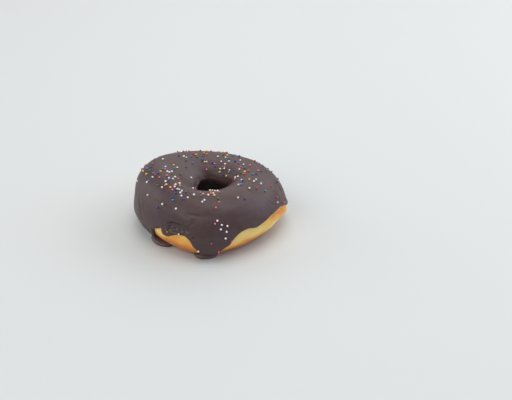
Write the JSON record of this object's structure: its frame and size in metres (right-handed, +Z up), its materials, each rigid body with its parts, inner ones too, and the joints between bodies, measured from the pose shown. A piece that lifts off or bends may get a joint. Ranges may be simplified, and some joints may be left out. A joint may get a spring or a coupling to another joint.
{
  "type": "frosted ring doughnut",
  "caption": "Raised ring doughnut coated with chocolate frosting that has run down to small puddled feet.",
  "frame": {"origin": "on the table under the middle of the doughnut's box", "axes": "+Z up, -Y towards the front where the frosting has run down to the table, +X to the right seen from the front"},
  "size_m": [0.1077, 0.1061, 0.0431],
  "materials": {
    "dough": "golden fried crust, matt, cream below the frosting and browner underneath",
    "frosting": "set chocolate frosting, satin",
    "sprinkles": "hard sugar beads in mixed colours, satin"
  },
  "bodies": {
    "root": {"dough": "dough", "frosting": "frosting"}
  },
  "joints": []
}
